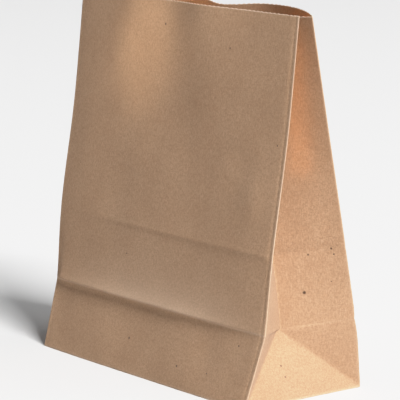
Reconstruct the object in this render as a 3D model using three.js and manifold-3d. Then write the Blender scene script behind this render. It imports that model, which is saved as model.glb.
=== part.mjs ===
// Brown paper lunch bag: one folded and pasted sheet of kraft paper, standing open on its block bottom.
//
// Frame: origin at the centre of the base's underside, +Z up, millimetres. The front panel faces -Y,
// the back panel +Y, and the two gussets +X and -X.
//
// The bag is one closed solid. Its wall is drawn as levels, each at one distance along the paper from
// the base fold. A level is a closed outline that runs round the front panel, the right gusset, the
// back panel and the left gusset, and the same outline moved in by the paper's thickness is the inner
// face. Each gusset is folded in at its centre crease. At its foot the paper turns over two slanting
// creases, which leave a triangle that stands on the short edge of the base. The bottom is the pasted
// stack of flaps that closes the tube, and its underside shows where the outer flap ends.

import * as THREE from 'three';
import { mergeVertices } from 'three/addons/utils/BufferGeometryUtils.js';
import Module from 'manifold-3d';

// Driving dimensions of the sheet
const PANEL_WIDTH = 180;            // front and back panels, from gusset fold to gusset fold
const BASE_DEPTH = 76;              // the block bottom, and the unfolded width of each gusset
const PANEL_LENGTH = 195;           // along the paper, from the base fold to the cut top edge
const PAPER = 0.15;                 // thickness of one layer
const BOTTOM_LAYERS = 4;            // pasted layers where all the bottom flaps lie on each other
const FLAP_OVERLAP = 24;            // how far the outer bottom flap passes the middle line
const FLAP_MARGIN = 3;              // the base fold is rounded, so flap edges start this far in

// Places along the paper, from the base fold up
const HALF_DEPTH = BASE_DEPTH / 2;
const FOOT_CREASE = HALF_DEPTH;     // cross crease, made where the bottom folds up flat
const BASE_MARK = BASE_DEPTH;       // mark that the folded bottom's edge leaves on the panel
const MID_PANEL = (BASE_MARK + PANEL_LENGTH) / 2;
const MARKS = [0, FOOT_CREASE, BASE_MARK, MID_PANEL, PANEL_LENGTH];

// How the sheet stands once it has been opened by hand, at MARKS
const FRONT_LEAN = [0, 11, 14.6, 24, 30.8];       // the front panel's edges lean back
const BACK_LEAN = [0, 7, 14.2, 25.8, 37.3];       // the back panel's edges lean forward
const DRAWN_IN = [3.6, 1, 0, 0, 0];               // the panel edges are drawn in along X
const FRONT_BOW = [0.8, 0.8, 1, 1.8, 2.2];        // the front panel bows out between its edges
const BACK_BOW = [0.8, 2.2, 5, 10, 14];           // and so does the back panel
const BOW_POWER = 4;                // a bow is flat in the middle and curves down near its edges
const TIP_IN = 21;                  // the foot triangle's point stands this far in from the base edge

// A ridge at the mouth pushes the front panel out, and a dent pushes the back panel forward
const RIDGE = { x: 22, halfWidth: 22, depth: 2.2, reach: 70, peak: 0 };
const DENT = { x: 12, halfWidth: 24, depth: 11, reach: 85, peak: 22 };
const RIM_RECOVERY = 0.3;           // the share of a push that is lost again from its peak up to the rim

// Fineness
const LEVELS = [0, 10, 20, 29, 38, 46, 60, 76, 91, 106, 121, 136, 151, 166, 181, 195];
const PANEL_STEPS = 14;
const GUSSET_STEPS = 3;             // from a panel edge to the gusset's centre crease
const RISE_STEP = 1;                // the height of a leaning strip is summed in steps this long
const LONGEST_MITRE = 8;            // at a sharp fold the inner face meets this many layers further in
const CLEAR_OF_NEIGHBOUR = 0.4;     // and no further than this share of the way to the next corner

const { lerp, clamp } = THREE.MathUtils;

// A smooth curve through one value at each mark.
function curve(values) {
  const slope = (i) => (values[i + 1] - values[i]) / (MARKS[i + 1] - MARKS[i]);
  const last = MARKS.length - 1;
  return (length) => {
    let i = 0;
    while (i < last - 1 && length > MARKS[i + 1]) {
      i += 1;
    }
    const span = MARKS[i + 1] - MARKS[i];
    const creased = i <= 1;         // the paper breaks at the foot crease and is smooth above it
    const start = i === 0 || creased ? slope(i) : (slope(i - 1) + slope(i)) / 2;
    const end = i === 0 || i === last - 1 ? slope(i) : (slope(i) + slope(i + 1)) / 2;
    const t = clamp((length - MARKS[i]) / span, 0, 1);
    const blend = t * t * (3 - 2 * t);
    const tangents = start * t * (1 - t) ** 2 - end * t * t * (1 - t);
    return lerp(values[i], values[i + 1], blend) + span * tangents;
  };
}

const frontLean = curve(FRONT_LEAN);
const backLean = curve(BACK_LEAN);
const drawnIn = curve(DRAWN_IN);
const frontBow = curve(FRONT_BOW);
const backBow = curve(BACK_BOW);

function halfWidth(length) {
  return PANEL_WIDTH / 2 - drawnIn(length);
}

// 0 at both edges of a panel, and nearly 1 over its middle.
function bowShape(x, length) {
  return 1 - Math.abs(x / halfWidth(length)) ** BOW_POWER;
}

// A rounded push at the mouth that is deepest at its peak and fades out at its reach below the rim.
function push(place, x, length) {
  const across = Math.exp(-(((x - place.x) / place.halfWidth) ** 2));
  const below = PANEL_LENGTH - length;
  const fade = 1 - THREE.MathUtils.smoothstep(below, place.peak, place.reach);
  const rim = place.peak > below ? 1 - RIM_RECOVERY * (1 - below / place.peak) : 1;
  return place.depth * across * rim * fade;
}

function frontY(x, length) {
  const bow = frontBow(length) * bowShape(x, length) + push(RIDGE, x, length);
  return frontLean(length) - HALF_DEPTH - bow;
}

function backY(x, length) {
  const bow = backBow(length) * bowShape(x, length) - push(DENT, x, length);
  return HALF_DEPTH - backLean(length) + bow;
}

// A panel point. Its height is what the paper below it reaches, since the paper leans but never stretches.
function panelPoint(panelY, x, length) {
  const across = x / halfWidth(length);
  let height = 0;
  for (let done = 0; done < length; done += RISE_STEP) {
    const next = Math.min(done + RISE_STEP, length);
    const sideways = panelY(across * halfWidth(next), next) - panelY(across * halfWidth(done), done);
    height += Math.sqrt((next - done) ** 2 - sideways ** 2);
  }
  return new THREE.Vector3(x, panelY(x, length), height);
}

// Below its point the foot triangle is a leaning plane. Above it the gusset has one centre crease.
const TIP = new THREE.Vector3(halfWidth(0) - TIP_IN, 0, Math.sqrt(HALF_DEPTH ** 2 - TIP_IN ** 2));

function centreCrease(front, back, length) {
  const opening = (back.y - front.y) / 2;
  const depth = Math.sqrt(HALF_DEPTH ** 2 - opening ** 2);
  const above = length - FOOT_CREASE;
  const inward = TIP.x - (front.x - depth);
  const height = TIP.z + Math.sqrt(above ** 2 - Math.min(Math.abs(inward), above) ** 2);
  const x = lerp(TIP.x, front.x - depth, clamp(above / (BASE_MARK - FOOT_CREASE), 0, 1));
  return new THREE.Vector3(x, (front.y + back.y) / 2, height);
}

// The right gusset at one level, from the front edge to the back edge, without the edges themselves.
function gusset(front, back, length) {
  const low = length < FOOT_CREASE;
  const up = Math.min(length / FOOT_CREASE, 1);
  const foot = new THREE.Vector3(halfWidth(0), 0, 0).lerp(TIP, up);
  const centre = low ? foot : centreCrease(front, back, length);
  const reach = HALF_DEPTH * (1 - up);
  const frontFold = low ? foot.clone().setY(-reach) : centre;
  const backFold = low ? foot.clone().setY(reach) : centre;
  const points = [];
  for (let k = 1; k <= GUSSET_STEPS; k += 1) {
    points.push(front.clone().lerp(frontFold, k / GUSSET_STEPS));
  }
  points.push(centre.clone());
  for (let k = GUSSET_STEPS; k >= 1; k -= 1) {
    points.push(back.clone().lerp(backFold, k / GUSSET_STEPS));
  }
  return points;
}

// The whole outline at one level, anticlockwise from above, from the front left edge.
function outline(length) {
  const half = halfWidth(length);
  const panelX = Array.from({ length: PANEL_STEPS + 1 }, (_, k) => lerp(-half, half, k / PANEL_STEPS));
  const front = panelX.map((x) => panelPoint(frontY, x, length));
  const back = panelX.map((x) => panelPoint(backY, x, length)).reverse();
  const right = gusset(front[PANEL_STEPS], back[0], length);
  const left = right.map((p) => p.clone().setX(-p.x)).reverse();
  return [...front, ...right, ...back, ...left];
}

// The next corner of the outline in the given direction that isn't in the same place.
function neighbour(points, index, direction) {
  let i = index;
  do {
    i = (i + direction + points.length) % points.length;
  } while (points[i].distanceTo(points[index]) < PAPER / 10);
  return points[i];
}

// The same outline moved in by a thickness, with its folds kept sharp.
function innerOutline(points, thickness) {
  return points.map((point, index) => {
    const previous = neighbour(points, index, -1);
    const following = neighbour(points, index, 1);
    const before = point.clone().sub(previous).setZ(0).normalize();
    const after = following.clone().sub(point).setZ(0).normalize();
    const inBefore = new THREE.Vector3(-before.y, before.x, 0);
    const inAfter = new THREE.Vector3(-after.y, after.x, 0);
    const middle = inBefore.clone().add(inAfter).normalize();
    const mitre = thickness / Math.max(middle.dot(inAfter), 1 / LONGEST_MITRE);
    const room = Math.min(point.distanceTo(previous), point.distanceTo(following));
    return point.clone().addScaledVector(middle, Math.min(mitre, CLEAR_OF_NEIGHBOUR * room));
  });
}

// The inner face at each level. It starts on the floor, where the pasted layers fill the corner.
function innerLevels(outer, floor) {
  const start = innerOutline(outer[0], floor).map((point) => point.setZ(floor));
  return [start, ...outer.slice(1).map((points) => innerOutline(points, PAPER))];
}

// Rings of points joined into one closed surface: up the outside, over the rim, down the inside. Both
// faces of the paper are split into triangles along the same diagonals, so that they stay parallel.
function bagGeometry() {
  const floor = BOTTOM_LAYERS * PAPER;
  const outer = LEVELS.map(outline);
  const inner = innerLevels(outer, floor);
  const rings = [...outer, ...inner.reverse()];
  const count = rings[0].length;
  const vertices = rings.flat();
  const under = vertices.push(new THREE.Vector3(0, 0, 0)) - 1;
  const inside = vertices.push(new THREE.Vector3(0, 0, floor)) - 1;
  const index = [];
  for (let j = 0; j < count; j += 1) {
    const next = (j + 1) % count;
    for (let ring = 0; ring < rings.length - 1; ring += 1) {
      const low = ring * count;
      const high = low + count;
      if (ring < LEVELS.length) {
        index.push(low + j, low + next, high + next, low + j, high + next, high + j);
      } else {
        index.push(low + j, low + next, high + j, low + next, high + next, high + j);
      }
    }
    const last = (rings.length - 1) * count;
    index.push(under, next, j, inside, last + j, last + next);
  }
  const geometry = new THREE.BufferGeometry().setFromPoints(vertices);
  geometry.setIndex(index);
  return geometry;
}

const wasm = await Module();
wasm.setup();

// Shared corners are merged, and triangles that shrank to a line are dropped.
function toSolid(geometry) {
  const bare = geometry.clone();
  bare.deleteAttribute('normal');
  bare.deleteAttribute('uv');
  const merged = mergeVertices(bare, PAPER / 100);
  const corners = Array.from(merged.index.array);
  const kept = [];
  for (let i = 0; i < corners.length; i += 3) {
    const [a, b, c] = corners.slice(i, i + 3);
    if (a !== b && b !== c && c !== a) {
      kept.push(a, b, c);
    }
  }
  const vertProperties = new Float32Array(merged.attributes.position.array);
  return new wasm.Manifold(new wasm.Mesh({ numProp: 3, vertProperties, triVerts: new Uint32Array(kept) }));
}

function toGeometry(solid) {
  const mesh = solid.getMesh();
  const geometry = new THREE.BufferGeometry();
  geometry.setAttribute('position', new THREE.BufferAttribute(new Float32Array(mesh.vertProperties), 3));
  geometry.setIndex(Array.from(mesh.triVerts));
  geometry.computeVertexNormals();
  return geometry;
}

// The underside is one layer higher where the outer flap doesn't reach: a strip along the front edge
// and the triangles at both ends, which the flap's slanting ends leave bare.
function bareUnderside() {
  const x = halfWidth(0) - FLAP_MARGIN;
  const y = HALF_DEPTH - FLAP_MARGIN;
  const flapEdge = -FLAP_OVERLAP / 2;
  const slant = y - flapEdge;
  const shape = new THREE.Shape();
  shape.moveTo(-x, -y);
  shape.lineTo(x, -y);
  shape.lineTo(x, y);
  shape.lineTo(x - slant, flapEdge);
  shape.lineTo(slant - x, flapEdge);
  shape.lineTo(-x, y);
  shape.closePath();
  const geometry = new THREE.ExtrudeGeometry(shape, { depth: 2 * PAPER, bevelEnabled: false });
  return geometry.translate(0, 0, -PAPER);
}

const kraft = new THREE.MeshStandardMaterial({ color: 0xb98e66, roughness: 0.9, metalness: 0 });
const sheet = toSolid(bagGeometry()).subtract(toSolid(bareUnderside()));
const bag = new THREE.Mesh(toGeometry(sheet), kraft);
bag.name = 'paper_bag';

const lunchBag = new THREE.Group();
lunchBag.add(bag);

export default lunchBag;
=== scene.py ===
"""Brown paper lunch bag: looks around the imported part. Shapes are worked out in millimetres on the flat
sheet and turned into metres when a mesh is made. u runs round the tube (front, right gusset, back, left
gusset) and s runs up the paper from the base fold."""
import math
import bpy
import numpy as np
from mathutils import Matrix, Quaternion, Vector


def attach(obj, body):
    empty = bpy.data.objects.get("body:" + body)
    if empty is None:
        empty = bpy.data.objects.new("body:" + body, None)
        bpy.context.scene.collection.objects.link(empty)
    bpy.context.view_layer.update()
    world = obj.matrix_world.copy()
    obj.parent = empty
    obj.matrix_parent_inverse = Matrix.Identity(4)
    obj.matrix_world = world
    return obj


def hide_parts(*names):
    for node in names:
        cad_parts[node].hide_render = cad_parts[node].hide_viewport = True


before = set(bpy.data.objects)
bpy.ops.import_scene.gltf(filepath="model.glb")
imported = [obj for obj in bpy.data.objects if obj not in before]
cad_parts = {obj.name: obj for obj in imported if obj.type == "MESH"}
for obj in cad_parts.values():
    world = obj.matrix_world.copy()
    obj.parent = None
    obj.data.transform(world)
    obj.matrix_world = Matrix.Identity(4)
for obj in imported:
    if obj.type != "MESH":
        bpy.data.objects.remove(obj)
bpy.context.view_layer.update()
MM = 0.001

# ---------------------------------------------------------------- the sheet, as in the CAD model
WIDTH, DEPTH, LENGTH = 180.0, 76.0, 195.0
HALF = DEPTH / 2
PAPER = 0.15
FLOOR = 4 * PAPER
MARKS = np.array([0, HALF, DEPTH, (DEPTH + LENGTH) / 2, LENGTH])
FRONT_LEAN = [0, 11, 14.6, 24, 30.8]
BACK_LEAN = [0, 7, 14.2, 25.8, 37.3]
DRAWN_IN = [3.6, 1, 0, 0, 0]
FRONT_BOW = [0.8, 0.8, 1, 1.8, 2.2]
BACK_BOW = [0.8, 2.2, 5, 10, 14]
BOW_POWER = 4
TIP_IN = 21.0
RIDGE = dict(x=22, half=22, depth=2.2, reach=70, peak=0)
DENT = dict(x=12, half=24, depth=11, reach=85, peak=22)
RIM_RECOVERY = 0.3

STEP = 0.5                      # fineness of the flat sheet on which everything is worked out
UNDER = 4.0                     # the sheet goes on this far under the bottom
FOLD_ROUND = 0.45               # spread of the rounding at every fold
SIDE_LINE = 2.8                 # the faint line beside each long fold of the front lies this far in
SEAM_X = 14.0                   # the back's pasted seam lies this far from the middle


def smooth(t):
    """Eases from 0 to 1."""
    t = np.clip(t, 0, 1)
    return t * t * (3 - 2 * t)


def bell(x, middle, spread):
    return np.exp(-(((x - middle) / spread) ** 2))


def curve(values, s):
    """A smooth curve through one value at each mark, with a crease at the second."""
    v = np.array(values, float)
    slope = np.diff(v) / np.diff(MARKS)
    i = np.clip(np.searchsorted(MARKS, s, side="left") - 1, 0, 3)
    mean = np.concatenate([[0], (slope[:-1] + slope[1:]) / 2, [0]])
    start = np.where(i <= 1, slope[i], mean[i])
    end = np.where((i == 0) | (i == 3), slope[i], mean[i + 1])
    span = MARKS[i + 1] - MARKS[i]
    t = np.clip((s - MARKS[i]) / span, 0, 1)
    lean = span * (start * t * (1 - t) ** 2 - end * t * t * (1 - t))
    return v[i] + (v[i + 1] - v[i]) * smooth(t) + lean


def half_width(s):
    return WIDTH / 2 - curve(DRAWN_IN, s)


def push(place, x, s):
    """How far a ridge or a dent near the rim moves the paper."""
    below = LENGTH - s
    fade = 1 - smooth((below - place["peak"]) / (place["reach"] - place["peak"]))
    up = np.clip(1 - below / max(place["peak"], 1e-6), 0, 1) if place["peak"] else 0
    return place["depth"] * bell(x, place["x"], place["half"]) * (1 - RIM_RECOVERY * up) * fade


def front_y(p, s):
    x = p * half_width(s)
    bow = curve(FRONT_BOW, s) * (1 - np.abs(p) ** BOW_POWER) + push(RIDGE, x, s)
    return curve(FRONT_LEAN, s) - HALF - bow


def back_y(p, s):
    x = p * half_width(s)
    bow = curve(BACK_BOW, s) * (1 - np.abs(p) ** BOW_POWER) - push(DENT, x, s)
    return HALF - curve(BACK_LEAN, s) + bow


def panel(y_of, p, s):
    """Points of a panel. The paper leans but never stretches, which sets each point's height."""
    all_p, all_s = np.meshgrid(p, s, indexing="ij")
    y = y_of(all_p, all_s)
    rise = np.sqrt(np.maximum(np.diff(all_s, axis=1) ** 2 - np.diff(y, axis=1) ** 2, 0))
    z = np.concatenate([np.zeros((len(p), 1)), np.cumsum(rise, axis=1)], axis=1)
    return np.stack([all_p * half_width(all_s), y, z], axis=-1)


def gusset(front, back, g, s):
    """Points of the right gusset, between the front and back panels' edges."""
    tip = np.array([half_width(0.0) - TIP_IN, 0, math.sqrt(HALF ** 2 - TIP_IN ** 2)])
    foot = np.array([half_width(0.0), 0, 0])
    up = np.clip(s / HALF, 0, 1)[:, None]
    low = foot + (tip - foot) * up
    opening = (back[:, 1] - front[:, 1]) / 2
    depth = np.sqrt(HALF ** 2 - opening ** 2)
    above = np.maximum(s - HALF, 0)
    inward = tip[0] - (front[:, 0] - depth)
    z = tip[2] + np.sqrt(np.maximum(above ** 2 - np.minimum(np.abs(inward), above) ** 2, 0))
    blend = np.clip(above / (DEPTH - HALF), 0, 1)
    x = tip[0] + (front[:, 0] - depth - tip[0]) * blend
    high = np.stack([x, (front[:, 1] + back[:, 1]) / 2, z], axis=-1)
    centre = np.where((s < HALF)[:, None], low, high)
    reach = np.maximum(HALF - s, 0)
    points = np.zeros((len(g), len(s), 3))
    for i, at in enumerate(g):
        near_front = at <= HALF
        edge = front if near_front else back
        away = at if near_front else DEPTH - at
        fold = centre.copy()
        fold[:, 1] += np.where(s < HALF, -reach if near_front else reach, 0)
        span = np.where(s < HALF, np.maximum(s, 1e-6), HALF)
        k = np.minimum(away / span, 1)[:, None]
        points[i] = edge + (fold - edge) * k
        flat = (s < HALF) & (away > s)
        points[i][flat, 1] = (centre[:, 1] + (at - HALF))[flat]
    return points


# ---------------------------------------------------------------- the whole tube as one fine grid
N_PANEL = int(WIDTH / STEP)
N_GUSSET = int(DEPTH / STEP)
U_TOTAL = 2 * (WIDTH + DEPTH)
s_up = np.arange(0, LENGTH + STEP / 2, STEP)
p_all = np.linspace(-1, 1, N_PANEL + 1)
front = panel(front_y, p_all, s_up)
back = panel(back_y, p_all, s_up)
g_all = np.linspace(0, DEPTH, N_GUSSET + 1)
right = gusset(front[-1], back[-1], g_all, s_up)
left = right[::-1].copy()
left[..., 0] *= -1
tube = np.concatenate([front[:-1], right[:-1], back[::-1][:-1], left[:-1]])
rows_under = np.arange(UNDER, STEP / 2, -STEP)
first = tube[:, 0]
inset = 1 - rows_under[None, :] / np.array([half_width(0.0), HALF])[:, None]
under = np.stack([first[:, None, 0] * inset[0], first[:, None, 1] * inset[1],
                  np.zeros((len(first), len(rows_under)))], axis=-1)
tube = np.concatenate([under, tube], axis=1)
u_axis = np.arange(len(tube)) * STEP
s_axis = np.concatenate([-rows_under, s_up])


def blur(grid, spread):
    """Rounds the folds: a Gaussian along u, which closes on itself, and along s."""
    reach = int(math.ceil(3 * spread / STEP))
    k = np.exp(-0.5 * (np.arange(-reach, reach + 1) * STEP / spread) ** 2)
    k /= k.sum()
    out = sum(w * np.roll(grid, j, axis=0) for w, j in zip(k, range(-reach, reach + 1)))
    edge = 2 * out[:, -1:] - out[:, -1 - reach:-1][:, ::-1]
    start = 2 * out[:, :1] - out[:, 1:1 + reach][:, ::-1]
    wide = np.concatenate([start, out, edge], axis=1)
    n = out.shape[1]
    return sum(w * wide[:, j:j + n] for w, j in zip(k, range(2 * reach + 1)))


def normals_of(grid):
    """Directions that point out of the paper's outer face."""
    du = np.roll(grid, -1, axis=0) - np.roll(grid, 1, axis=0)
    ds = np.gradient(grid, axis=1)
    n = np.cross(du, ds)
    return n / np.maximum(np.linalg.norm(n, axis=-1, keepdims=True), 1e-9)


# ---------------------------------------------------------------- marks of folding and handling
rng = np.random.default_rng(7)


def waves(u, s, length, count, seed):
    """Gentle uneven undulation about 1 high, of about the given wavelength."""
    r = np.random.default_rng(seed)
    total = np.zeros(np.broadcast(u, s).shape)
    for _ in range(count):
        turn = r.uniform(0, math.pi)
        k = 2 * math.pi / (length * r.uniform(0.7, 1.5))
        total += np.cos(k * (u * math.cos(turn) + s * math.sin(turn)) + r.uniform(0, 6.28))
    return total / math.sqrt(count)


def lip(s, place, proud, reach, tuck):
    """A cross crease that stands proud just above its line and drops sharply to a tuck just below it."""
    rise, drop = np.maximum(s - place, 0), np.maximum(place - s, 0)
    above = proud * (0.5 * np.exp(-rise / 5) + 0.5 * np.exp(-rise / reach))
    turn = np.exp(-drop / 1.4)
    below = proud * turn - tuck * (1 - turn) * (1 - smooth((drop - 7) / 26))
    return np.where(s > place, above, below)


# Soft bumps and dents that handling left in the front panel: x, s, half-widths along both, and depth.
HANDLED = [(30, 150, 30, 26, 1.1), (62, 118, 12, 7, -0.5), (70, 105, 9, 16, 0.6), (58, 158, 16, 9, 0.5),
           (-20, 112, 34, 12, 0.5), (50, 24, 10, 12, -0.5), (20, 30, 16, 10, 0.3), (-60, 90, 20, 22, 0.4)]


def front_relief(x, s):
    """How far the front panel's face stands out from the plain sheet, in mm."""
    left_end = smooth((x + 91) / 9)
    right_end = np.clip((90 - x) / 75, 0, 1) ** 0.6
    out = lip(s, HALF + 0.6, 3.3, 20, 0.5) * left_end * right_end
    out = out + lip(s, DEPTH + 0.3, 0.75, 8, 0.15) * smooth((x + 100) / 120) * smooth((90 - x) / 8)
    near_rim = smooth((s - 135) / 60)
    out = out + 1.6 * near_rim * bell(x, 22 - (LENGTH - s) * 0.9, 16)
    out = out - 1.2 * near_rim * bell(x, -62 + (LENGTH - s) * 0.1, 16)
    for place_x, place_s, half_x, half_s, depth in HANDLED:
        out = out + depth * bell(x, place_x, half_x) * bell(s, place_s, half_s)
    out = out - 0.22 * bell(np.abs(x), WIDTH / 2 - SIDE_LINE, 0.55)
    ripple = 0.28 * waves(x, s, 70, 9, 3) + 0.06 * waves(x, s, 26, 8, 21)
    return out + ripple * smooth((90 - np.abs(x)) / 20)


def back_relief(x, s):
    """How far the back panel's face stands out from the plain sheet, in mm."""
    above, below = s - HALF, HALF - s
    out = np.where(above > 0, 0.6 * (1 - np.exp(-np.maximum(above, 0) / 2.6)) * np.exp(-(above / 24) ** 2),
                   0.9 * (1 - np.exp(-np.maximum(below, 0) / 4.0)) * smooth(s / 30))
    out = out - 0.2 * bell(s, DEPTH, 1.1)
    seam = PAPER * smooth((x - SEAM_X) / 0.8) * smooth((s - 1) / 2)
    return out + seam + 0.22 * waves(x, s, 70, 9, 5) * smooth((90 - np.abs(x)) / 20)


def gusset_relief(g, s, seed):
    """How far a gusset's face stands out from the plain sheet, in mm."""
    inside = smooth(np.minimum(g, DEPTH - g) / 10)
    mark = -0.35 * bell(s, DEPTH, 2.4) * smooth((s - HALF) / 4)
    return (mark + 0.10 * waves(g, s, 45, 7, seed)) * inside * smooth((s - 2) / 8)


tube = blur(tube, FOLD_ROUND)
face = normals_of(tube)
relief = np.zeros(tube.shape[:2])
all_u, all_s = np.meshgrid(u_axis, s_axis, indexing="ij")
up_only = smooth((all_s - 1) / 3)
fronts, rights = slice(0, N_PANEL), slice(N_PANEL, N_PANEL + N_GUSSET)
backs, lefts = slice(N_PANEL + N_GUSSET, 2 * N_PANEL + N_GUSSET), slice(2 * N_PANEL + N_GUSSET, None)
relief[fronts] = front_relief(all_u[fronts] - WIDTH / 2, all_s[fronts]) * up_only[fronts]
relief[rights] = gusset_relief(all_u[rights] - WIDTH, all_s[rights], 11)
relief[backs] = back_relief(WIDTH / 2 - (all_u[backs] - WIDTH - DEPTH), all_s[backs]) * up_only[backs]
relief[lefts] = gusset_relief(all_u[lefts] - 2 * WIDTH - DEPTH, all_s[lefts], 13)
tube = tube + face * relief[..., None]
face = normals_of(tube)


# ---------------------------------------------------------------- the mesh
def spread(start, stop, count):
    """Even places from start up to but not including stop."""
    return list(np.linspace(start, stop, count + 1)[:-1])


def near(place, offsets):
    """Extra places close to one where the shape turns sharply."""
    return [place + o for o in offsets]


COLUMN, ROW = 1.5, 2.2          # ordinary spacing of the mesh
CLOSEST_COLUMN, CLOSEST_ROW = 0.22, 0.3
HAIR = 0.01                     # slack for comparing places on the sheet
RIGHT_GUSSET, BACK, LEFT_GUSSET = WIDTH, WIDTH + DEPTH, 2 * WIDTH + DEPTH
LONG_FOLDS = (0, RIGHT_GUSSET, BACK, LEFT_GUSSET)


def even_cells(width):
    """How many cells cross a panel or gusset: an even number, so that one edge lies in the middle."""
    return int(round(width / COLUMN)) // 2 * 2


def mesh_columns():
    """Places round the sheet where the mesh has a column: close together at folds, lines and the seam."""
    at = []
    for start, width in ((0, WIDTH), (RIGHT_GUSSET, DEPTH), (BACK, WIDTH), (LEFT_GUSSET, DEPTH)):
        at += spread(start, start + width, even_cells(width))
    for fold in (*LONG_FOLDS, RIGHT_GUSSET + HALF, LEFT_GUSSET + HALF):
        at += near(fold, (-1.0, -0.5, 0.5, 1.0))
    for edge in (SIDE_LINE, WIDTH - SIDE_LINE):
        at += near(edge, (-0.6, 0, 0.6))
    at += near(BACK + WIDTH / 2 - SEAM_X, (-0.8, -0.3, 0))
    at = np.unique(np.round(np.array(at) % U_TOTAL, 2))
    return at[np.concatenate([[True], np.diff(at) > CLOSEST_COLUMN])]


def mesh_rows():
    """Places up the sheet where the mesh has a row. Up to the sharp crease they keep the gusset's spacing,
    so that its slanting creases cross whole cells."""
    gusset_step = DEPTH / even_cells(DEPTH)
    at = list(np.arange(1, int(HALF / gusset_step) + 1) * gusset_step)
    at += list(np.arange(HALF + 2, LENGTH - 1, ROW))
    at += near(HALF, (-4, -2.5, -1.7, -1, -0.5, 0, 0.5, 0.85, 1.5, 2.5))
    at += near(DEPTH, (-2, -1, 0, 1, 2))
    at += near(0, (-UNDER, -2.5, -1.2, -0.5, 0, 0.5))
    at += near(LENGTH, (-1.2, -0.6, 0))
    at = np.unique(np.round(at, 2))
    return at[np.concatenate([[True], np.diff(at) > CLOSEST_ROW])]


def sample(grid, u, s):
    """The fine grid's values at columns u and rows s."""
    fu = (u / STEP) % len(grid)
    iu = np.floor(fu).astype(int)
    tu = (fu - iu)[:, None, None]
    at_u = grid[iu % len(grid)] * (1 - tu) + grid[(iu + 1) % len(grid)] * tu
    fs = np.clip((s - s_axis[0]) / STEP, 0, len(s_axis) - 1.001)
    js = np.floor(fs).astype(int)
    ts = (fs - js)[None, :, None]
    return at_u[:, js] * (1 - ts) + at_u[:, js + 1] * ts


columns = mesh_columns()
rows = mesh_rows()
outer = sample(tube, columns, rows)
normal = sample(face, columns, rows)
normal /= np.linalg.norm(normal, axis=-1, keepdims=True)

# The cut top edge is slightly toothed.
TOOTH = 0.45
teeth = np.where(np.arange(len(columns)) % 2 == 0, 0.0, TOOTH) * rng.uniform(0.5, 1.1, len(columns))
outer[:, -1, 2] -= teeth

# The inside is the outside moved in by the paper's thickness, and it ends at the bottom's top face.
# Its lowest ring is drawn in a little, clear of the rounded base fold.
INSIDE_FROM = 1.0
FLOOR_INSET = (0.992, 0.985)
inner = (outer - normal * PAPER)[:, rows > INSIDE_FROM]
inner[:, 0, 2] = FLOOR
inner[:, 0, :2] *= FLOOR_INSET


def cell(corners, u, low_row, outside):
    """One cell of the skin: a four-sided face, or two triangles cut along the foot's slanting creases."""
    across = (u - RIGHT_GUSSET) % (WIDTH + DEPTH)
    a, b, c, d = corners
    if low_row >= HALF or across >= DEPTH - HAIR:
        return [corners]
    if (across < HALF - HAIR) == outside:
        return [(a, b, c), (a, c, d)]
    return [(a, b, d), (b, c, d)]


def skin(name, rings, heights, last_outer):
    """One closed skin: under the bottom, up the outside, over the rim, down the inside and across."""
    count = len(columns)
    faces = []
    for ring in range(len(rings) - 1):
        low_row = min(heights[ring], heights[ring + 1])
        here, there = ring * count, (ring + 1) * count
        for k, u in enumerate(columns):
            after = (k + 1) % count
            corners = (here + k, here + after, there + after, there + k)
            faces += cell(corners, u, low_row, ring < last_outer)
    last = (len(rings) - 1) * count
    faces.append(tuple(reversed(range(count))))
    faces.append(tuple(range(last, last + count)))
    mesh = bpy.data.meshes.new(name)
    mesh.from_pydata((np.concatenate(rings) * MM).tolist(), [], faces)
    mesh.update()
    mesh.shade_smooth()
    return mesh


def wear_and_highlight(u, s):
    """How pale the paper is painted: wear together with a painted highlight at the long folds, most of all
    at the front's right one, at the sharp crease and at the base, and a painted highlight in a band on the
    front above the sharp crease."""
    less_below = 0.5 + 0.5 * smooth((s - 50) / 40)
    on_panel = (u - RIGHT_GUSSET) % (WIDTH + DEPTH) > DEPTH
    on_front_above = (u < WIDTH) & (s > HALF)
    # The band on the front above the sharp crease is a painted highlight, where light catches the paper.
    lit_band = np.where(on_front_above, np.exp(-(s - HALF) / 12), 0) * smooth((105 - np.abs(u - 95)) / 90)
    pale_and_lit = np.maximum(np.where(on_panel, 0.4, 0.05) * bell(s, HALF, 0.7), 0.5 * bell(s, 0, 0.8))
    pale_and_lit = np.maximum(pale_and_lit, 0.45 * lit_band)
    # The long folds are paler from wear and from a painted highlight, most of all the front's right fold.
    for place in (*LONG_FOLDS, U_TOTAL):
        most = 1.0 if place == RIGHT_GUSSET else 0.4
        pale_and_lit = np.maximum(pale_and_lit, most * bell(u, place, 0.8) * less_below)
    return pale_and_lit


rings = [outer[:, j] for j in range(outer.shape[1])]
rings[0][:, 2] = PAPER          # the middle of the underside lies above the outer flap
rings += [inner[:, j] for j in range(inner.shape[1] - 1, -1, -1)]
heights = [*rows, *rows[rows > INSIDE_FROM][::-1]]
mesh = skin("lunch_bag", rings, heights, len(rows) - 1)
bag = bpy.data.objects.new("lunch_bag", mesh)
bpy.context.scene.collection.objects.link(bag)

# Attributes that the material reads: paleness from wear and painted highlight at the folds and above the
# sharp crease, and closeness to the cut edge, whose pale rim is partly a painted highlight.
point_u, point_s = np.tile(columns, len(rings)), np.repeat(heights, len(columns))
for name, values in (("wear_and_highlight", wear_and_highlight(point_u, point_s)), ("cut_edge_and_highlight", bell(point_s, LENGTH, 0.35))):
    mesh.attributes.new(name, "FLOAT", "POINT").data.foreach_set("value", values.astype(np.float32))


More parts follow.
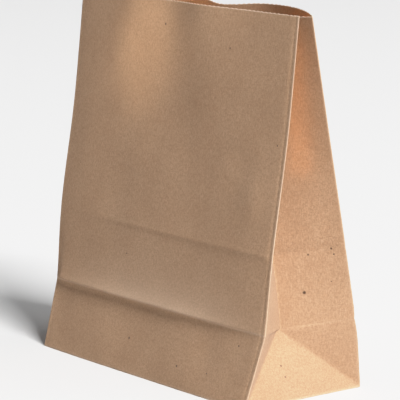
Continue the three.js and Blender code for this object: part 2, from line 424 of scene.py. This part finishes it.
def slab(name, outline, low, high):
    """A flat flap of paper with slightly rounded edges."""
    count = len(outline)
    verts = [(x * MM, y * MM, z * MM) for z in (low, high) for x, y in outline]
    faces = [tuple(reversed(range(count))), tuple(range(count, 2 * count))]
    faces += [(k, (k + 1) % count, count + (k + 1) % count, count + k) for k in range(count)]
    flap_mesh = bpy.data.meshes.new(name)
    flap_mesh.from_pydata(verts, [], faces)
    flap_mesh.update()
    flap = bpy.data.objects.new(name, flap_mesh)
    bpy.context.scene.collection.objects.link(flap)
    bevel = flap.modifiers.new("soft", "BEVEL")
    bevel.width = 0.03 * MM
    bevel.segments = 2
    return flap


def outer_flap():
    """Under the bottom: it reaches past the middle, and its ends slant at 45 degrees."""
    margin, past_middle = 3, 12
    x, y = half_width(0.0) - margin, HALF - margin
    narrow = x - (y + past_middle)
    outline = [(x, y), (-x, y), (-narrow, -past_middle), (narrow, -past_middle)]
    return slab("bottom_outer_flap", outline, 0.0, PAPER - 0.005)


def end_flap(name, side):
    """Flat inside at one end, side being 1 on the right and -1 on the left."""
    margin, reach = 1.5, 30
    x, y = half_width(0.0) - margin, HALF - margin
    far_x, far_y = x - reach, y - reach
    outline = [(side * x, -y), (side * x, y), (side * far_x, far_y), (side * far_x, -far_y)]
    return slab(name, outline[::side], FLOOR + 0.01, FLOOR + PAPER)


pieces = [bag, outer_flap(), end_flap("end_flap_right", 1), end_flap("end_flap_left", -1)]


# ---------------------------------------------------------------- kraft paper
PULP, PALE_PULP, DARK_PULP = (0.52, 0.322, 0.192), (0.585, 0.375, 0.23), (0.40, 0.235, 0.132)
PALE_FIBRE, DARK_FIBRE, SPECK = (0.71, 0.50, 0.335), (0.335, 0.185, 0.10), (0.09, 0.05, 0.03)
# Pale paints for the folds and the cut edge: part wear, part painted highlight.
WEAR_AND_HIGHLIGHT, CUT_EDGE_AND_HIGHLIGHT, SHOWN_THROUGH = (0.92, 0.73, 0.56), (0.95, 0.80, 0.64), (0.66, 0.56, 0.42)
THROUGH = 0.3                   # the share of light that passes through the paper

# The larger dark specks in the pulp: place round and up the sheet, and radius, in mm.
SPECKS = [(75, 18, 0.65), (120, 11.5, 0.6), (162.5, 30, 0.5), (64, 61, 0.4), (133, 175, 0.45),
          (232, 55, 0.8), (236.5, 74, 0.45), (248.5, 76, 0.5), (249.5, 73, 0.45), (212, 19, 0.5),
          (212, 13, 0.45), (300, 120, 0.6), (352, 40, 0.5), (402, 150, 0.45), (470, 90, 0.6)]


def feed(tree, socket, value):
    """Links an output to a socket, or sets the socket to a number, a vector or a colour."""
    if isinstance(value, bpy.types.NodeSocket):
        tree.links.new(value, socket)
    elif socket.type == "RGBA":
        socket.default_value = (*value, 1.0)
    else:
        socket.default_value = value


def node(tree, kind, **sockets):
    """A new shader node with its named sockets fed. An underscore stands for a space."""
    made = tree.nodes.new(kind)
    for name, value in sockets.items():
        feed(tree, made.inputs[name.replace("_", " ")], value)
    return made


def stretched(tree, place, scale):
    return node(tree, "ShaderNodeMapping", Vector=place, Scale=scale).outputs["Vector"]


def noise(tree, place, scale, detail, rough):
    made = node(tree, "ShaderNodeTexNoise", Vector=place, Scale=scale, Detail=detail, Roughness=rough)
    return made.outputs["Fac"]


def maths(tree, kind, one, two):
    made = tree.nodes.new("ShaderNodeMath")
    made.operation = kind
    feed(tree, made.inputs[0], one)
    feed(tree, made.inputs[1], two)
    return made.outputs[0]


def ranged(tree, value, low, high, to_low=0.0, to_high=1.0):
    made = node(tree, "ShaderNodeMapRange", Value=value, From_Min=low, From_Max=high, To_Min=to_low,
                To_Max=to_high)
    return made.outputs["Result"]


def mix(tree, share, one, two):
    """Blends two colours. The Mix node repeats its sockets' names, so they are found by place."""
    made = tree.nodes.new("ShaderNodeMix")
    made.data_type = "RGBA"
    for place, value in ((0, share), (6, one), (7, two)):
        feed(tree, made.inputs[place], value)
    return made.outputs[2]


def pulp(tree, place):
    """Clouds, mottle and fibres along and across: their colour, the mottle alone, and their height."""
    clouds = noise(tree, stretched(tree, place, (1, 1, 0.7)), 45, 4, 0.6)
    mottle = noise(tree, stretched(tree, place, (1, 1, 0.9)), 1050, 4, 0.8)
    fibres = noise(tree, stretched(tree, place, (2600, 2600, 420)), 1.0, 2, 0.6)
    cross = noise(tree, stretched(tree, place, (480, 480, 2400)), 1.0, 2, 0.6)
    colour = mix(tree, ranged(tree, clouds, 0.35, 0.68), PULP, PALE_PULP)
    colour = mix(tree, ranged(tree, mottle, 0.42, 0.62, 0, 0.84), colour, DARK_PULP)
    colour = mix(tree, ranged(tree, fibres, 0.5, 0.72, 0, 0.56), colour, PALE_FIBRE)
    colour = mix(tree, ranged(tree, cross, 0.52, 0.76, 0, 0.42), colour, DARK_FIBRE)
    height = maths(tree, "ADD", maths(tree, "MULTIPLY", mottle, 0.9), cross)
    height = maths(tree, "ADD", maths(tree, "MULTIPLY", fibres, 0.6), height)
    return colour, mottle, height


def specks(tree, place):
    """Where there is a speck: many small ones at random, and the larger ones in their places."""
    cells = node(tree, "ShaderNodeTexVoronoi", Vector=stretched(tree, place, (95, 95, 95)), Scale=1.0)
    split = node(tree, "ShaderNodeSeparateColor", Color=cells.outputs["Color"])
    chosen = maths(tree, "GREATER_THAN", split.outputs["Red"], 0.86)
    size = ranged(tree, split.outputs["Green"], 0, 1, 0.015, 0.06)
    dot = maths(tree, "LESS_THAN", cells.outputs["Distance"], size)
    found = maths(tree, "MULTIPLY", chosen, dot)
    for u, s, radius in SPECKS:
        gap = tree.nodes.new("ShaderNodeVectorMath")
        gap.operation = "DISTANCE"
        feed(tree, gap.inputs[0], place)
        feed(tree, gap.inputs[1], tuple(sample(tube, np.array([u]), np.array([s]))[0, 0] * MM))
        soft = ranged(tree, gap.outputs["Value"], radius * MM * 1.25, radius * MM * 0.75)
        found = maths(tree, "MAXIMUM", found, soft)
    return found


def kraft():
    """Uncoated brown kraft paper with some light passing through. Its folds and cut edge are paler from
    wear and painted highlight, and a band above the sharp crease carries a painted highlight.
    """
    material = bpy.data.materials.new("kraft_paper")
    material.use_nodes = True
    tree = material.node_tree
    tree.nodes.clear()
    place = tree.nodes.new("ShaderNodeTexCoord").outputs["Object"]
    colour, mottle, height = pulp(tree, place)
    colour = mix(tree, maths(tree, "MULTIPLY", specks(tree, place), 0.95), colour, SPECK)
    # Folds, cut edge and the band above the sharp crease are painted paler: part wear, part painted
    # highlight.
    for name, strength, shade in (("wear_and_highlight", 0.75, WEAR_AND_HIGHLIGHT), ("cut_edge_and_highlight", 0.9, CUT_EDGE_AND_HIGHLIGHT)):
        attribute = tree.nodes.new("ShaderNodeAttribute")
        attribute.attribute_name = name
        colour = mix(tree, maths(tree, "MULTIPLY", attribute.outputs["Fac"], strength), colour, shade)
    bump = node(tree, "ShaderNodeBump", Strength=0.5, Distance=0.0002, Height=height)
    surface = node(tree, "ShaderNodeBsdfPrincipled", Base_Color=colour, IOR=1.45, Specular_IOR_Level=0.4,
                   Sheen_Weight=0.08, Sheen_Roughness=0.6, Normal=bump.outputs["Normal"],
                   Roughness=ranged(tree, mottle, 0.3, 0.7, 0.72, 0.9))
    through = node(tree, "ShaderNodeBsdfTranslucent", Color=mix(tree, 0.6, colour, SHOWN_THROUGH))
    blend = tree.nodes.new("ShaderNodeMixShader")
    for socket, value in zip(blend.inputs, (THROUGH, surface.outputs[0], through.outputs[0])):
        feed(tree, socket, value)
    node(tree, "ShaderNodeOutputMaterial", Surface=blend.outputs[0])
    return material


paper = kraft()
for piece in pieces:
    piece.data.materials.append(paper)
    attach(piece, "root")
    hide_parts("paper_bag")


# ---------------------------------------------------------------- studio: pale floor, soft light, camera
FLOOR_RADIUS, WALL_RADIUS, WALL_HIGH = 8.0, 7.9, 3.0
FLOOR_WHITE, WALL_GLOW = 0.77, 0.85
WHITE, WARM_WHITE, DEEP_ORANGE = (1, 1, 1), (1, 0.97, 0.94), (1, 0.58, 0.24)


def studio_material(name, white, own_glow):
    """Dull, from black at 0 to white at 1, with a white glow of its own."""
    material = bpy.data.materials.new(name)
    material.use_nodes = True
    bsdf = material.node_tree.nodes["Principled BSDF"]
    bsdf.inputs["Base Color"].default_value = (white, white, white, 1)
    bsdf.inputs["Roughness"].default_value = 0.9
    bsdf.inputs["Specular IOR Level"].default_value = 0.0
    bsdf.inputs["Emission Color"].default_value = (1, 1, 1, 1)
    bsdf.inputs["Emission Strength"].default_value = own_glow
    return material


bpy.ops.mesh.primitive_circle_add(vertices=96, radius=FLOOR_RADIUS, fill_type="NGON")
ground = bpy.context.object
ground.name = "studio_floor"
ground.data.materials.append(studio_material("pale_floor", FLOOR_WHITE, 0.0))


def backdrop():
    """A low pale wall far behind, seen only by the camera, so that it sheds no light."""
    bpy.ops.mesh.primitive_cylinder_add(vertices=96, radius=WALL_RADIUS, depth=WALL_HIGH,
                                        end_fill_type="NOTHING", location=(0, 0, WALL_HIGH / 2))
    wall = bpy.context.object
    wall.name = "studio_backdrop"
    wall.data.materials.append(studio_material("pale_backdrop", 0.0, WALL_GLOW))
    wall.visible_diffuse = wall.visible_glossy = wall.visible_transmission = wall.visible_shadow = False
    return wall


backdrop()


def towards(azimuth, elevation):
    """The direction at these angles in degrees."""
    turn, rise = math.radians(azimuth), math.radians(elevation)
    return Vector((math.cos(turn) * math.cos(rise), math.sin(turn) * math.cos(rise), math.sin(rise)))


def lamp(name, kind, energy, colour, place, turn):
    """Adds a light at a place in metres, turned by a quaternion."""
    holder = bpy.data.objects.new(name, bpy.data.lights.new(name, kind))
    holder.data.energy = energy
    holder.data.color = colour
    holder.location = place
    holder.rotation_euler = turn.to_euler()
    bpy.context.scene.collection.objects.link(holder)
    return holder


def window(name, energy, colour, place, turn, wide, high):
    """A rectangular lamp, wide by high metres."""
    holder = lamp(name, "AREA", energy, colour, place, turn)
    holder.data.shape = "RECTANGLE"
    holder.data.size, holder.data.size_y = wide, high
    return holder


def sun(name, azimuth, elevation, strength, size, colour):
    """A distant light whose disc is size degrees across."""
    turn = towards(azimuth, elevation).to_track_quat("Z", "Y")
    holder = lamp(name, "SUN", strength, colour, (0, 0, 0), turn)
    holder.data.angle = math.radians(size)


def softbox(name, azimuth, elevation, distance, wide, high, irradiance):
    """A large lamp aimed at the bag, and as strong there as irradiance says."""
    aim = towards(azimuth, elevation)
    energy = irradiance * math.pi * distance ** 2
    window(name, energy, WHITE, aim * distance, aim.to_track_quat("Z", "Y"), wide, high)


def glow(name, place, facing, roll, wide, high, watts, colour):
    """A small lamp inside the bag, in mm, standing for sunlight that falls in through the mouth."""
    turn = Vector(facing).to_track_quat("-Z", "Y") @ Quaternion((0, 0, 1), math.radians(roll))
    holder = window(name, watts, colour, Vector(place) * MM, turn, wide * MM, high * MM)
    holder.visible_camera = False


softbox("key", azimuth=-7.0, elevation=39, distance=12, wide=4.4, high=0.8, irradiance=5.0)
sun("soft_fill", azimuth=45, elevation=30, strength=1.2, size=60, colour=WHITE)
sun("left_fill", azimuth=-152, elevation=38, strength=0.33, size=50, colour=WHITE)
sun("side_fill", azimuth=-1, elevation=12, strength=1.0, size=25, colour=WARM_WHITE)
glow("front_glow", (-29, 1, 165), (0, -1, 0), roll=34, wide=46, high=60, watts=0.056, colour=WHITE)
glow("gusset_glow", (72, 9.6, 149), (0.3, -0.954, -0.11), roll=0, wide=12, high=76, watts=0.02,
     colour=DEEP_ORANGE)

AMBIENT = 0.09
world = bpy.data.worlds.new("studio")
bpy.context.scene.world = world
world.use_nodes = True
world.node_tree.nodes["Background"].inputs["Color"].default_value = (1.0, 1.0, 1.0, 1)
world.node_tree.nodes["Background"].inputs["Strength"].default_value = AMBIENT

scene = bpy.context.scene
scene.view_settings.view_transform = "Standard"
scene.view_settings.look = "None"

# A photographic shoulder: straight up to KNEE, then easing towards white.
KNEE, TOP = 0.7, 3.0
CURVE_AT = (0.4, 0.7, 0.76, 0.85, 0.95, 1.1, 1.4, 2.0, 3.0)


def toned(x):
    return x if x <= KNEE else KNEE + (1 - KNEE) * (1 - math.exp((KNEE - x) / (1 - KNEE)))


scene.view_settings.use_curve_mapping = True
film = scene.view_settings.curve_mapping
film.white_level = (TOP, TOP, TOP)
film.use_clip = True
line = film.curves[3]
shoulder = [(0.0, 0.0)] + [(x / TOP, toned(x)) for x in CURVE_AT]
line.points[0].location = shoulder[0]
line.points[1].location = shoulder[-1]
for place in shoulder[1:-1]:
    line.points.new(*place)
film.update()

# The camera's place, directions and lens come from the perspective fit to the photograph.
CAMERA_AT = (0.9974, -0.7781, 0.3173)
SENSOR_MM, LENS_MM = 36, 223.1
camera = bpy.data.objects.new("camera", bpy.data.cameras.new("camera"))
scene.collection.objects.link(camera)
forward = Vector((-0.77507, 0.60627, -0.17805))
rightward = Vector((0.61611, 0.78766, 0.0))
upward = rightward.cross(forward)
turn = Matrix((rightward, upward, -forward)).transposed().to_4x4()
camera.matrix_world = Matrix.Translation(Vector(CAMERA_AT)) @ turn
camera.data.sensor_width = SENSOR_MM
camera.data.lens = LENS_MM
camera.data.clip_start = 0.05
camera.data.clip_end = 40
scene.camera = camera


def corners(box):
    return [[float(v) for v in corner] for corner in box]
